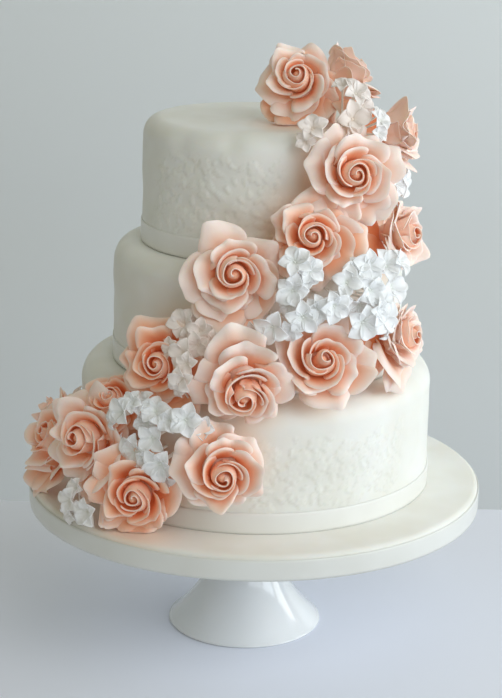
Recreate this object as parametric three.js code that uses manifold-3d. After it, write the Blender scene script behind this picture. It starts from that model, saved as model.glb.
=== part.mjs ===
// A three-tier wedding cake on a footed porcelain stand. The tiers stand on an iced board, the board and
// every tier wear a satin ribbon, and a cascade of sugar roses and small white blossoms winds down from
// the top tier to the board. Millimetres, +Z up, the front is -Y. The origin is on the floor, on the
// axis of the tiers. Turns are in degrees about +Z, 0 at the front and positive towards +X.
import * as THREE from "three";
import { mergeVertices } from "three/addons/utils/BufferGeometryUtils.js";
import Module from "manifold-3d";

const wasm = await Module();
wasm.setup();

// ---- driving dimensions ----
const clear = 0.3; // left between pieces that touch
const sides = 36; // of everything that is turned
const stand = { height: 100, foot: 57, footRim: 2.5, flare: 52, neck: 25, plate: 118, offset: -5.5 };
const board = { radius: 165, thick: 18, shoulder: 4 };
const tiers = [
  { name: "bottom", radius: 127, height: 91, shoulder: 16 },
  { name: "middle", radius: 103.5, height: 85, shoulder: 14 },
  { name: "top", radius: 83, height: 88, shoulder: 14 },
];
const ribbon = { height: 15, thick: 0.8, underBoardEdge: 3 };
const stem = { sunk: 5, rose: 5, blossom: 1.6 }; // how deep it is aimed, and its radius there
const trimGrowth = 1.02; // how much larger a flower is when it trims the next one
const slack = 0.35; // how far the small facets that trimming leaves may be evened out
const trimReach = 15; // flowers whose rims are farther apart than this never trim each other

// ---- the cascade ----
// Each row is a rose: the reach of its middle from the axis, its turn about the axis and its height, the
// turn and the tilt that it faces, its width, and its spin on its own axis.
const roses = [
  [46, 32, 411, -6, 24, 54, 10],
  [64, 71.5, 414, 100, 38, 56, 40],
  [104, 66.5, 379, 80, 12, 52, 0],
  [110, 34.5, 357.5, 12, 12, 62, 55],
  [112, 18, 317.5, 6, 14, 58, 30],
  [116, 56.5, 313.5, 56, 10, 54, 15],
  [121, -7.5, 296.5, 2, 10, 62, 70],
  [132, 19.5, 240.5, 8, 26, 60, 230],
  [128, 50.5, 245, 62, 8, 54, 25],
  [132, -29, 234, -22, 12, 59, 5],
  [143, -3.5, 227.5, 0, -16, 64, 35],
  [154, -8.5, 173.5, 4, 4, 61, 60],
  [153, -31.5, 147.5, -12, 2, 60, 20],
  [153, -48.5, 177, -36, 15, 64, 45],
  [150, -71, 157, -60, 34, 62, 65],
  [136, -44.5, 200, -28, 38, 48, 30],
  [100, 112, 352, 112, 8, 56, 10],
  [122, 134, 285, 136, 10, 56, 50],
  [154, -102, 147, -106, 20, 56, 0],
];

// Each row is a blossom: reach, turn, height, the turn and tilt that it faces, and its spin.
const blossoms = [
  [85, 47.5, 406, 30, 40, 12],
  [94, 40, 391, 20, 22, 50],
  [106, 48, 390, 45, 40, 30],
  [91, 22, 386, 0, 30, 66],
  [102, 72, 341.5, 74, 6, 20],
  [130, 10.5, 306.5, 0, 30, 10],
  [131, 10, 288.5, -10, 4, 40],
  [134, 4.5, 265, -18, -6, 25],
  [137, 12.5, 272, 8, -4, 60],
  [138, 21, 278.5, 14, 2, 5],
  [134, 25.5, 292, 8, 24, 33],
  [131, 33, 301, 26, 14, 48],
  [127, 41.5, 297.5, 30, 34, 15],
  [126, 44.5, 281.5, 48, 24, 55],
  [134, 33, 285.5, 30, 4, 28],
  [138, 30, 265.5, 20, -8, 44],
  [136, 37.5, 265.5, 44, -4, 8],
  [122, -23, 260, -30, 28, 20],
  [126, -17, 257.5, -8, 14, 52],
  [138, -20, 245, -26, 14, 36],
  [148, -18.5, 231.5, -30, -8, 64],
  [134, -16.5, 250.5, -12, 4, 4],
  [152, -35, 202, -46, 20, 18],
  [148, -26, 205.5, -22, 34, 58],
  [150, -17.5, 203.5, -4, 16, 40],
  [150, -26.5, 188, -22, 4, 10],
  [150, -31.5, 177, -42, 0, 46],
  [152, -24, 172, -20, -8, 26],
  [166, -48.5, 133.5, -48, 4, 34],
  [164, -42.5, 130.5, -38, 8, 62],
  [97, 89, 344.5, 95, 20, 14],
  [140, -108, 156, -106, 30, 38],
];
const blossomWidth = 25;
const fourPetalled = 3; // one blossom in so many has four petals, the others have five

// A rose's skin as rings from its heart to its underside, in shares of its half width: r is a ring's
// radius and w its height over the plane of the outer petals' edges. petals is how many petals share the
// ring, bulge how far each swells outwards, step the jump where one petal passes over the next, curl how
// far its tip bends back, and phase the ring's turn in degrees.
const roseHeart = 0.36;
const roseRings = [
  { r: 0.12, w: 0.42, petals: 3, bulge: 0.1, step: 0.3, curl: 0, phase: 0 },
  { r: 0.18, w: 0.22, petals: 3, bulge: 0.1, step: 0.2, curl: 0, phase: 0 },
  { r: 0.34, w: 0.38, petals: 3, bulge: 0.14, step: 0.3, curl: 0.02, phase: 40 },
  { r: 0.4, w: 0.14, petals: 3, bulge: 0.1, step: 0.2, curl: 0, phase: 40 },
  { r: 0.64, w: 0.25, petals: 5, bulge: 0.18, step: 0.22, curl: 0.06, phase: 20 },
  { r: 0.66, w: 0.02, petals: 5, bulge: 0.1, step: 0.12, curl: 0, phase: 20 },
  { r: 0.96, w: 0.04, petals: 5, bulge: 0.22, step: 0.1, curl: 0.16, phase: 0 },
  { r: 0.9, w: -0.05, petals: 5, bulge: 0.22, step: 0.1, curl: 0.16, phase: 0 },
  { r: 0.62, w: -0.42, petals: 5, bulge: 0.06, step: 0, curl: 0, phase: 0 },
];
const roseAround = 15; // corners of each ring

// A blossom's star, in shares of its half width and in degrees across one petal: the notch before the
// petal, its tip and its shoulder. The calyx is the ring behind the middle where the stem begins.
const starCorners = [
  { at: 0, r: 0.42, w: 0.04 },
  { at: 0.36, r: 1, w: 0.24 },
  { at: 0.74, r: 0.88, w: 0.18 },
];
const calyx = { r: 0.17, w: -0.24 };

// ---- tools ----
const radians = THREE.MathUtils.degToRad;

// A closed mesh as a manifold solid.
function solidFrom(geometry) {
  const bare = geometry.index ? geometry.toNonIndexed() : geometry;
  const position = new THREE.BufferGeometry().setAttribute("position", bare.getAttribute("position"));
  const merged = mergeVertices(position, 1e-4);
  return new wasm.Manifold(
    new wasm.Mesh({
      numProp: 3,
      vertProperties: merged.attributes.position.array,
      triVerts: new Uint32Array(merged.index.array),
    }),
  );
}

// A manifold solid back as a geometry.
function geometryFrom(solid) {
  const mesh = solid.getMesh();
  return new THREE.BufferGeometry()
    .setAttribute("position", new THREE.BufferAttribute(new Float32Array(mesh.vertProperties), 3))
    .setIndex(new THREE.BufferAttribute(new Uint32Array(mesh.triVerts), 1));
}

// The largest body of a solid that a cut may have left in pieces.
function largestBody(solid) {
  return solid.decompose().reduce((best, body) => (body.volume() > best.volume() ? body : best));
}

// A profile of [radius, height] points turned about +Z.
function turned(profile) {
  const points = profile.map(([r, z]) => new THREE.Vector2(r, z));
  return new THREE.LatheGeometry(points, sides).rotateX(Math.PI / 2);
}

function material(color, roughness) {
  return new THREE.MeshStandardMaterial({ color, roughness, metalness: 0 });
}

function named(name, geometry, finish) {
  const mesh = new THREE.Mesh(geometry, finish);
  mesh.name = name;
  return mesh;
}

// ---- the stand, the board, the tiers and their ribbons, each over its own underside ----
// A disc with a rounded upper edge, grown by a margin on its top and side.
function discProfile(radius, height, shoulder, margin = 0) {
  const profile = [
    [0, 0],
    [radius + margin, 0],
  ];
  const steps = Math.max(2, Math.round(shoulder / 4.2));
  for (let i = 0; i <= steps; i++) {
    const a = ((i / steps) * Math.PI) / 2;
    const x = radius + margin - shoulder * (1 - Math.cos(a));
    profile.push([x, height + margin - shoulder * (1 - Math.sin(a))]);
  }
  profile.push([0, height + margin]);
  return profile;
}

// A flat band round a disc of that radius.
function bandProfile(radius, height) {
  const inner = radius + clear;
  const outer = inner + ribbon.thick;
  return [
    [inner, 0],
    [outer, 0],
    [outer, height],
    [inner, height],
    [inner, 0],
  ];
}

// A flared foot, a narrow neck and a flat plate, turned as one piece.
function standProfile() {
  const { height, foot, footRim, flare, neck, plate } = stand;
  const profile = [
    [0, 0],
    [foot, 0],
    [foot, footRim],
  ];
  for (const t of [0.2, 0.5, 1]) {
    const r = neck + (foot - neck) * 0.96 * Math.pow(1 - t, 1.75);
    profile.push([r, footRim + t * flare]);
  }
  profile.push([neck + 4, height - 22], [neck + 16, height - 11], [plate - 4, height - 8]);
  profile.push([plate, height - 4], [plate, height], [0, height]);
  return profile;
}

// ---- flowers ----
function directionOf(turn, tilt) {
  const [a, e] = [radians(turn), radians(tilt)];
  return new THREE.Vector3(Math.sin(a) * Math.cos(e), -Math.cos(a) * Math.cos(e), Math.sin(e));
}

// An empty group at a flower's middle: +Z out of its face, +Y up and +X to the right of whoever it faces.
function flowerPlace([reach, turn, height, faceTurn, faceTilt]) {
  const place = new THREE.Group();
  const out = directionOf(faceTurn, faceTilt);
  const right = new THREE.Vector3(Math.cos(radians(faceTurn)), Math.sin(radians(faceTurn)), 0);
  const up = new THREE.Vector3().crossVectors(out, right);
  place.position.copy(directionOf(turn, 0)).multiplyScalar(reach).setZ(height);
  place.quaternion.setFromRotationMatrix(new THREE.Matrix4().makeBasis(right, up, out));
  place.updateMatrix();
  return place;
}

// The point of the cake or its board that is nearest to a point, a little under the surface.
function nearestSeat(point) {
  const reach = Math.hypot(point.x, point.y);
  let best = null;
  for (const { radius, low, high } of discs) {
    const r = Math.min(reach, radius - stem.sunk);
    const z = THREE.MathUtils.clamp(point.z, low + stem.sunk, high - stem.sunk);
    const far = Math.hypot(reach - r, point.z - z);
    if (!best || far < best.far) best = { far, r, z };
  }
  return new THREE.Vector3((point.x / reach) * best.r, (point.y / reach) * best.r, best.z);
}

// The stem's last ring, round the seat and square to the way in, and the seat, in the flower's own frame.
function stemEnd(place, back, radius, around, spin) {
  const seat = nearestSeat(back.clone().applyMatrix4(place.matrix));
  seat.applyMatrix4(place.matrix.clone().invert());
  const along = seat.clone().sub(back).normalize();
  const side = new THREE.Vector3(1, 0, 0).addScaledVector(along, -along.x).normalize();
  const other = new THREE.Vector3().crossVectors(side, along);
  const ring = [];
  for (let i = 0; i < around; i++) {
    const a = spin + (i / around) * 2 * Math.PI;
    const corner = seat.clone().addScaledVector(side, radius * Math.cos(a));
    ring.push(corner.addScaledVector(other, radius * Math.sin(a)));
  }
  return { ring, seat };
}

// A closed skin through rings of points, with a single point at each end.
function ringedSkin(first, rings, last) {
  const around = rings[0].length;
  const points = [first, ...rings.flat(), last];
  const at = (ring, i) => 1 + ring * around + (i % around);
  const faces = [];
  for (let i = 0; i < around; i++) {
    faces.push(0, at(0, i), at(0, i + 1));
    for (let ring = 0; ring + 1 < rings.length; ring++) {
      faces.push(at(ring, i), at(ring + 1, i), at(ring + 1, i + 1));
      faces.push(at(ring, i), at(ring + 1, i + 1), at(ring, i + 1));
    }
    faces.push(at(rings.length - 1, i), points.length - 1, at(rings.length - 1, i + 1));
  }
  const positions = new Float32Array(points.flatMap((p) => p.toArray()));
  return new THREE.BufferGeometry()
    .setAttribute("position", new THREE.BufferAttribute(positions, 3))
    .setIndex(faces);
}

function onRing(r, angle, w) {
  return new THREE.Vector3(r * Math.cos(angle), r * Math.sin(angle), w);
}

// One ring of a rose: each petal's edge swells to a pointed tip and passes over the next one's start.
function roseRing(shape, half, spin) {
  const ring = [];
  for (let i = 0; i < roseAround; i++) {
    const a = ((i + 0.5) / roseAround) * 2 * Math.PI;
    const turns = (shape.petals * (a + radians(shape.phase))) / (2 * Math.PI);
    const across = turns - Math.floor(turns);
    const swell = Math.sin(Math.PI * across) - 0.6;
    const r = half * shape.r * (1 + shape.bulge * swell + shape.step * (across - 0.5));
    ring.push(onRing(r, a + spin, half * (shape.w - shape.curl * swell)));
  }
  return ring;
}

function roseSkin(place, width, spin) {
  const half = width / 2;
  const rings = roseRings.map((shape) => roseRing(shape, half, spin));
  const back = new THREE.Vector3(0, 0, half * -0.62);
  const end = stemEnd(place, back, stem.rose, roseAround, spin + Math.PI / roseAround);
  return ringedSkin(new THREE.Vector3(0, 0, half * roseHeart), [...rings, end.ring], end.seat);
}

function blossomSkin(place, petals, width, spin) {
  const half = width / 2;
  const rim = [];
  const neck = [];
  for (let petal = 0; petal < petals; petal++) {
    for (const corner of starCorners) {
      const a = spin + ((petal + corner.at) / petals) * 2 * Math.PI;
      rim.push(onRing(half * corner.r, a, half * corner.w));
      neck.push(onRing(half * calyx.r, a, half * calyx.w));
    }
  }
  const back = new THREE.Vector3(0, 0, half * calyx.w);
  const end = stemEnd(place, back, stem.blossom, rim.length, spin);
  return ringedSkin(new THREE.Vector3(0, 0, 0), [rim, neck, end.ring], end.seat);
}

// ---- the model ----
const icing = material(0xf3f0e6, 0.55);
const satin = material(0xf6f3ea, 0.35);
const porcelain = material(0xf4f6f8, 0.15);
const peach = material(0xf2bfa2, 0.6);
const whitePaste = material(0xf8f8f6, 0.6);

const cake = new THREE.Group();
cake.name = "wedding_cake";

const standMesh = named("stand", turned(standProfile()), porcelain);
standMesh.position.x = stand.offset;
cake.add(standMesh);

// The board and the tiers, stacked, each with its ribbon in a group that stands on the one below.
const discs = [{ ...board, name: "board", height: board.thick }, ...tiers];
let level = stand.height;
for (const disc of discs) {
  disc.low = level + clear;
  disc.high = level + disc.height;
  disc.band = disc.name === "board" ? disc.height - clear - ribbon.underBoardEdge : ribbon.height;
  level = disc.high;
  const layer = new THREE.Group();
  layer.position.z = disc.low;
  const profile = discProfile(disc.radius, disc.height - clear, disc.shoulder);
  layer.add(named(disc.name === "board" ? "iced_board" : "tier_" + disc.name, turned(profile), icing));
  layer.add(named("ribbon_" + disc.name, turned(bandProfile(disc.radius, disc.band)), satin));
  cake.add(layer);
}

// The room that flowers leave to the board, the tiers and the ribbons.
const cakeRoom = discs
  .flatMap(({ radius, height, shoulder, low, band }) => [
    solidFrom(turned(discProfile(radius, height, shoulder, clear))).translate([0, 0, low - clear]),
    solidFrom(turned(discProfile(radius + ribbon.thick, band, 0.5, 2 * clear))).translate([0, 0, low]),
  ])
  .reduce((all, room) => all.add(room));

// Each flower is trimmed by the cake and by the flowers before it.
const cascade = new THREE.Group();
cake.add(cascade);
const heads = [];
function addFlower(name, place, skin, width, finish) {
  const centre = place.position;
  let solid = solidFrom(skin.applyMatrix4(place.matrix)).subtract(cakeRoom);
  for (const head of heads) {
    const apart = head.centre.distanceTo(centre) - (head.width + width) / 2;
    if (apart < trimReach) solid = solid.subtract(head.room);
  }
  solid = largestBody(solid.simplify(slack));
  const room = solid
    .hull()
    .translate(centre.clone().negate().toArray())
    .scale(trimGrowth)
    .translate(centre.toArray());
  heads.push({ centre, width, room });
  const geometry = geometryFrom(solid).applyMatrix4(place.matrix.clone().invert());
  place.add(named(name, geometry, finish));
  cascade.add(place);
}

const number = (i) => String(i + 1).padStart(2, "0");
roses.forEach((row, i) => {
  const place = flowerPlace(row);
  const [width, spin] = [row[5], radians(row[6])];
  addFlower("rose_" + number(i), place, roseSkin(place, width, spin), width, peach);
});
blossoms.forEach((row, i) => {
  const place = flowerPlace(row);
  const petals = i % fourPetalled === 1 ? 4 : 5;
  const skin = blossomSkin(place, petals, blossomWidth, radians(row[5]));
  addFlower("blossom_" + number(i), place, skin, blossomWidth, whitePaste);
});

export default cake;
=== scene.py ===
import math

import bpy
import numpy as np
from mathutils import Matrix, Vector


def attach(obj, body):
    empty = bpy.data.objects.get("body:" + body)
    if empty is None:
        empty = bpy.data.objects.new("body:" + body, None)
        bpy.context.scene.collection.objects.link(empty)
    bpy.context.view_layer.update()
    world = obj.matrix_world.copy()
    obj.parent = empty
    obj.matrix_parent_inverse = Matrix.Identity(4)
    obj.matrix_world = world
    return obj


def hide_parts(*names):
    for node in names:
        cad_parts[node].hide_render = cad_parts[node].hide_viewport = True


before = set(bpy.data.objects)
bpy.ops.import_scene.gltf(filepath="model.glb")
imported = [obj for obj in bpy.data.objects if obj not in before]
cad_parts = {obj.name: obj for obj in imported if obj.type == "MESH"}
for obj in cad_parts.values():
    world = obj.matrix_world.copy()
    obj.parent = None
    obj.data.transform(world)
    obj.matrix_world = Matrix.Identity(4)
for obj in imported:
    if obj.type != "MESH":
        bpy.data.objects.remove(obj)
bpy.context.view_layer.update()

# Metres, +Z up, the front is -Y, the origin on the floor under the tiers' axis.
# Turns are in degrees about +Z: 0 at the front, positive towards +X.
mm = 0.001
fullTurn = 2 * math.pi


def addObject(name, data):
    made = bpy.data.objects.new(name, data)
    bpy.context.scene.collection.objects.link(made)
    return made


cameraLook = {"place": (0, -1.2462, 0.5702), "lens": 91.91, "sensor": 36, "near": 0.05, "far": 50,
              "pitchDown": 16.066, "yaw": 0.179, "roll": 0.997}


# The camera is rolled about the way it looks, tipped down by pitch and then turned by yaw.
def makeCamera(look):
    yaw, pitch, roll = (math.radians(look[key]) for key in ("yaw", "pitchDown", "roll"))
    data = bpy.data.cameras.new("viewCamera")
    data.lens, data.sensor_width = look["lens"], look["sensor"]
    data.clip_start, data.clip_end = look["near"], look["far"]
    camera = addObject("viewCamera", data)
    turned = Matrix.Rotation(yaw, 4, "Z") @ Matrix.Rotation(math.pi / 2 - pitch, 4, "X")
    camera.matrix_world = Matrix.Translation(look["place"]) @ turned @ Matrix.Rotation(roll, 4, "Z")
    bpy.context.scene.camera = camera


makeCamera(cameraLook)
print("camera made")


# 3x^2 - 2x^3 of x held between 0 and 1.
def smooth(x):
    x = np.clip(x, 0, 1)
    return x * x * (3 - 2 * x)


# 0 up to a place, then smoothly to 1 at x = 1.
def past(x, place):
    return smooth((x - place) / (1 - place))


# exp(-(x / width)^2)
def bump(x, width):
    return np.exp(-((x / width) ** 2))


def unit(v):
    return v / np.maximum(np.linalg.norm(v, axis=-1, keepdims=True), 1e-12)


def directionOf(turn, tilt):
    a, e = math.radians(turn), math.radians(tilt)
    return np.array([math.sin(a) * math.cos(e), -math.cos(a) * math.cos(e), math.sin(e)])


# Even turns of a full circle, as one row.
def circle(columns):
    return np.linspace(0, fullTurn, columns, endpoint=False)[None, :]


# Points about the cake's axis: x = r sin(turn), y = -r cos(turn).
def aboutCake(r, turn, z):
    return np.stack(np.broadcast_arrays(r * np.sin(turn), -r * np.cos(turn), z), -1)


# Points about a flower's own axis: x = r cos(turn), y = r sin(turn).
def aboutFlower(r, turn, z):
    return np.stack(np.broadcast_arrays(r * np.cos(turn), r * np.sin(turn), z), -1)


# A sheet's normals: (along the columns) x (along the rows).
def normalsOf(sheet):
    return unit(np.cross(np.gradient(sheet, axis=1), np.gradient(sheet, axis=0)))


# A part: points, quads, triangles and, under each mark's name, one number for each point.
def makePart(points, quads, tris=None, **marks):
    tris = np.zeros((0, 3), int) if tris is None else tris
    return {"points": np.reshape(points, (-1, 3)), "quads": quads, "tris": tris, "marks": marks}


# The faces of a grid, turned so that their normals are (along the columns) x (along the rows).
def gridFaces(rows, columns, roundRows=False, roundColumns=False):
    i = np.arange(rows if roundRows else rows - 1)[:, None]
    j = np.arange(columns if roundColumns else columns - 1)[None, :]
    i2, j2 = (i + 1) % rows, (j + 1) % columns
    corners = [i * columns + j, i * columns + j2, i2 * columns + j2, i2 * columns + j]
    return np.stack(np.broadcast_arrays(*corners), -1).reshape(-1, 4)


# A sheet with a front and a back: each point of the grid goes half the thickness along the
# sheet's normal and half against it, and a strip joins the two along the border.
def shell(sheet, thickness, **marks):
    rows, columns = sheet.shape[:2]
    offset = normalsOf(sheet) * (np.broadcast_to(thickness, (rows, columns)) / 2)[..., None]
    count = rows * columns
    front = gridFaces(rows, columns)
    number = np.arange(count).reshape(rows, columns)
    border = np.concatenate([number[0, :-1], number[:-1, -1], number[-1, :0:-1], number[:0:-1, 0]])
    after = np.roll(border, -1)
    strip = np.stack([after, border, border + count, after + count], -1)
    quads = np.concatenate([front, front[:, ::-1] + count, strip])
    doubled = {key: np.tile(np.broadcast_to(value, (rows, columns)).ravel(), 2)
               for key, value in marks.items()}
    return makePart([sheet + offset, sheet - offset], quads, **doubled)


# Rings of points, rows along the profile and columns round it, closed by a point at each end.
def capped(rings, **marks):
    rows, columns = rings.shape[:2]
    points = np.concatenate([rings.reshape(-1, 3), [rings[0].mean(0), rings[-1].mean(0)]])
    j = np.arange(columns)
    j2 = (j + 1) % columns
    first, last = np.full(columns, rows * columns), np.full(columns, rows * columns + 1)
    top = (rows - 1) * columns
    tris = np.concatenate([np.stack([first, j2, j], -1), np.stack([last, top + j, top + j2], -1)])
    marked = {}
    for key, value in marks.items():
        grid = np.broadcast_to(value, (rows, columns))
        marked[key] = np.concatenate([grid.ravel(), [grid[0].mean(), grid[-1].mean()]])
    return makePart(points, gridFaces(rows, columns, roundColumns=True), tris, **marked)


# Several parts as one mesh and object, with the node that it replaces and its slot.
def makePiece(name, parts, material, node):
    points = np.concatenate([p["points"] for p in parts])
    starts = np.cumsum([0] + [len(p["points"]) for p in parts[:-1]])
    quads, tris = (np.concatenate([p[kind] + start for p, start in zip(parts, starts)])
                   for kind in ("quads", "tris"))
    mesh = bpy.data.meshes.new(name)
    mesh.vertices.add(len(points))
    mesh.vertices.foreach_set("co", points.astype(np.float32).ravel())
    mesh.loops.add(quads.size + tris.size)
    corners = np.concatenate([quads.ravel(), tris.ravel()])
    mesh.loops.foreach_set("vertex_index", corners.astype(np.int32))
    mesh.polygons.add(len(quads) + len(tris))
    begin = np.concatenate([np.arange(len(quads)) * 4, quads.size + np.arange(len(tris)) * 3])
    mesh.polygons.foreach_set("loop_start", begin.astype(np.int32))
    mesh.polygons.foreach_set("use_smooth", np.ones(len(begin), bool))
    for key in parts[0]["marks"]:
        values = np.concatenate([p["marks"][key] for p in parts])
        mark = mesh.attributes.new(key, "FLOAT", "POINT")
        mark.data.foreach_set("value", values.astype(np.float32))
    mesh.update(calc_edges=True)
    mesh.validate()
    mesh.materials.append(material)
    piece = addObject(name, mesh)
    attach(piece, "root")
    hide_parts(node)


# Each input of a node takes another node's output or a constant.
def feed(tree, node, inputs):
    for key, value in inputs.items():
        if isinstance(value, bpy.types.NodeSocket):
            tree.links.new(value, node.inputs[key])
        else:
            node.inputs[key].default_value = value


def addNode(tree, kind, inputs=None, **settings):
    node = tree.nodes.new(kind)
    for key, value in settings.items():
        setattr(node, key, value)
    feed(tree, node, inputs or {})
    return node


def calc(tree, operation, *values):
    return addNode(tree, "ShaderNodeMath", dict(enumerate(values)), operation=operation).outputs[0]


# Screen colour, 0 to 255, as light.
def linear(colour):
    c = np.array(colour, float) / 255
    return tuple(float(v) for v in np.where(c <= 0.04045, c / 12.92, ((c + 0.055) / 1.055) ** 2.4))


# A colour between the stops, at the place that a value gives.
def rampOf(tree, value, stops):
    node = addNode(tree, "ShaderNodeValToRGB", {"Fac": value})
    elements = node.color_ramp.elements
    while len(elements) < len(stops):
        elements.new(0.5)
    for element, (position, colour) in zip(elements, stops):
        element.position = position
        element.color = (*linear(colour), 1)
    return node.outputs["Color"]


# A colour turned towards another by a share.
def mixOf(tree, share, under, over):
    inputs = {0: share, 6: under, 7: (*linear(over), 1)}
    return addNode(tree, "ShaderNodeMix", inputs, data_type="RGBA").outputs[2]


def attributeOf(tree, name):
    return addNode(tree, "ShaderNodeAttribute", attribute_name=name).outputs["Fac"]


def newGroup(name, inputs, outputs):
    group = bpy.data.node_groups.new(name, "ShaderNodeTree")
    for socket, value in inputs.items():
        made = group.interface.new_socket(socket, in_out="INPUT", socket_type="NodeSocketFloat")
        made.default_value = value
    for socket in outputs:
        group.interface.new_socket(socket, in_out="OUTPUT", socket_type="NodeSocketFloat")
    return group, addNode(group, "NodeGroupInput").outputs, addNode(group, "NodeGroupOutput")


def useGroup(tree, group, **inputs):
    return addNode(tree, "ShaderNodeGroup", inputs, node_tree=group).outputs


# Rolled sugar paste: Height is three noises, each finer and weaker than the last, and Mottle
# a slow cloudy noise. Scale is features for each metre.
def makePasteGrain():
    group, given, result = newGroup("pasteGrain", {"Scale": 150.0, "Fine": 0.3}, ["Height", "Mottle"])
    place = addNode(group, "ShaderNodeTexCoord").outputs["Object"]

    def noise(times, detail):
        scale = calc(group, "MULTIPLY", given["Scale"], times)
        inputs = {"Vector": place, "Scale": scale, "Detail": detail}
        return addNode(group, "ShaderNodeTexNoise", inputs).outputs["Fac"]

    height = calc(group, "MULTIPLY_ADD", noise(5.0, 3.0), given["Fine"], noise(1.0, 2.0))
    finest = calc(group, "MULTIPLY", given["Fine"], 0.4)
    height = calc(group, "MULTIPLY_ADD", noise(16.0, 1.0), finest, height)
    feed(group, result, {"Height": height, "Mottle": noise(0.22, 2.0)})
    return group


# Veined petal paste: Height is fine ribs that run from the base of a petal and fan out,
# sin(2 pi Count across), weaker towards the rim. Rim is 1 at the petal's edge.
def makePetalVeins():
    sockets = {"Count": 9.0, "Across": 0.0, "Along": 0.0}
    group, given, result = newGroup("petalVeins", sockets, ["Height", "Rim"])
    across, along = given["Across"], given["Along"]
    angle = calc(group, "MULTIPLY", calc(group, "MULTIPLY", across, given["Count"]), fullTurn)
    fade = calc(group, "MULTIPLY_ADD", along, -0.8, 1.0)
    side = calc(group, "POWER", calc(group, "ABSOLUTE", across), 8.0)
    top = calc(group, "POWER", calc(group, "ABSOLUTE", along), 12.0)
    ribs = calc(group, "MULTIPLY", calc(group, "SINE", angle), fade)
    feed(group, result, {"Height": ribs, "Rim": calc(group, "MAXIMUM", side, top)})
    return group


pasteGrain = makePasteGrain()
petalVeins = makePetalVeins()


# The start of every material: an empty surface, and the paste grain at the look's scale.
def newPaste(name, look):
    material = bpy.data.materials.new(name)
    material.use_nodes = True
    tree = material.node_tree
    tree.nodes.clear()
    shader = addNode(tree, "ShaderNodeBsdfPrincipled")
    addNode(tree, "ShaderNodeOutputMaterial", {"Surface": shader.outputs[0]})
    grain = useGroup(tree, pasteGrain, Scale=look["scale"], Fine=look["fine"])
    return material, tree, shader, grain["Height"], grain["Mottle"]


# The dull and the bright white of a look, mixed by the mottle.
def whitesOf(tree, look, mottle):
    low, high = look.get("spread", (0.3, 0.7))
    return rampOf(tree, mottle, [(low, look["dull"]), (high, look["bright"])])


def veinsOf(tree, look, height):
    across, along = attributeOf(tree, "across"), attributeOf(tree, "along")
    veins = useGroup(tree, petalVeins, Count=look["veins"], Across=across, Along=along)
    return calc(tree, "MULTIPLY_ADD", veins["Height"], look["veinShare"], height), veins["Rim"]


def paintPlain(tree, look, height, mottle):
    return whitesOf(tree, look, mottle), height, mottle


# A finished surface: paint gives its colour, its height and the mask by which its roughness
# grows from the least by the second number.
def makeSurface(name, look, paint=paintPlain):
    material, tree, shader, height, mottle = newPaste(name, look)
    colour, height, mask = paint(tree, look, height, mottle)
    inputs = {"Height": height, "Strength": look["bump"], "Distance": look["depth"]}
    normal = addNode(tree, "ShaderNodeBump", inputs).outputs[0]
    least, more = look["rough"]
    rough = calc(tree, "MULTIPLY_ADD", mask, more, least)
    feed(tree, shader, {"Base Color": colour, "Normal": normal, "Roughness": rough, **look["sockets"]})
    return material


icingLook = {
    "bright": (246, 246, 241), "dull": (240, 239, 231), "spread": (0.35, 0.65), "crease": (225, 223, 212),
    "blush": (255, 226, 200), "blushShare": 0.58, "scale": 120.0, "fine": 0.22, "bump": 0.25,
    "depth": 0.6 * mm, "rough": (0.38, 0.2),
    "sockets": {"Subsurface Weight": 0.25, "Subsurface Radius": (1, 0.8, 0.6),
                "Subsurface Scale": 3 * mm, "Specular IOR Level": 0.35},
}


# Sugar icing: two whites, darker in the creases of the relief as painted shade, and with a faint painted
# warm shade, the light that the roses throw back, where roses stand close.
def paintIcing(tree, look, height, mottle):
    creased = mixOf(tree, attributeOf(tree, "crease"), whitesOf(tree, look, mottle), look["crease"])
    share = calc(tree, "MULTIPLY", attributeOf(tree, "blush"), look["blushShare"])
    return mixOf(tree, share, creased, look["blush"]), height, mottle


porcelainLook = {
    "bright": (246, 248, 250), "dull": (236, 239, 242), "scale": 60.0, "fine": 0.05,
    "bump": 0.06, "depth": 0.4 * mm, "rough": (0.1, 0.06),
    "sockets": {"Coat Weight": 0.5, "Coat Roughness": 0.06, "Subsurface Weight": 0.1,
                "Subsurface Radius": (1, 0.9, 0.8), "Subsurface Scale": 2 * mm},
}
satinLook = {
    "bright": (248, 248, 245), "dull": (240, 239, 234), "scale": 90.0, "fine": 0.15,
    "threads": 1800.0, "threadShare": 0.25, "bump": 0.1, "depth": 0.4 * mm, "rough": (0.25, 0.15),
    "sockets": {"Sheen Weight": 0.3, "Sheen Roughness": 0.4, "Specular IOR Level": 0.5},
}
# The board's ribbon is the same ivory satin made a little darker: painted shade.
paintedShadeSatinLook = {**satinLook, "bright": (237, 238, 235), "dull": (229, 229, 224)}


# Satin: fine threads round the band, as a wave up its height, and slow cloudy shading.
def paintSatin(tree, look, height, mottle):
    place = addNode(tree, "ShaderNodeTexCoord").outputs["Object"]
    z = addNode(tree, "ShaderNodeSeparateXYZ", {"Vector": place}).outputs["Z"]
    wave = calc(tree, "SINE", calc(tree, "MULTIPLY", z, fullTurn * look["threads"]))
    return whitesOf(tree, look, mottle), calc(tree, "MULTIPLY_ADD", wave, look["threadShare"], height), mottle


# The back warmth and the faint emission glow are painted light, standing for light that comes through the
# petals.
roseLook = {
    "stops": [(0.0, (255, 234, 224)), (0.3, (255, 214, 194)), (0.6, (252, 188, 152)), (1.0, (242, 144, 98))],
    "cloud": 0.22, "backShare": 0.35, "paintedBackGlow": 0.14, "rim": (255, 243, 236), "rimHighlightShare": 0.6,
    "veins": 9.0, "veinShare": 0.2, "scale": 260.0, "fine": 0.3, "bump": 0.12, "depth": 0.5 * mm,
    "rough": (0.45, 0.2),
    "sockets": {"Subsurface Weight": 0.2, "Subsurface Radius": (1, 0.5, 0.3),
                "Subsurface Scale": 1.5 * mm, "Specular IOR Level": 0.3,
                "Emission Color": (1, 0.35, 0.12, 1), "Emission Strength": 0.03},
}
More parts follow.
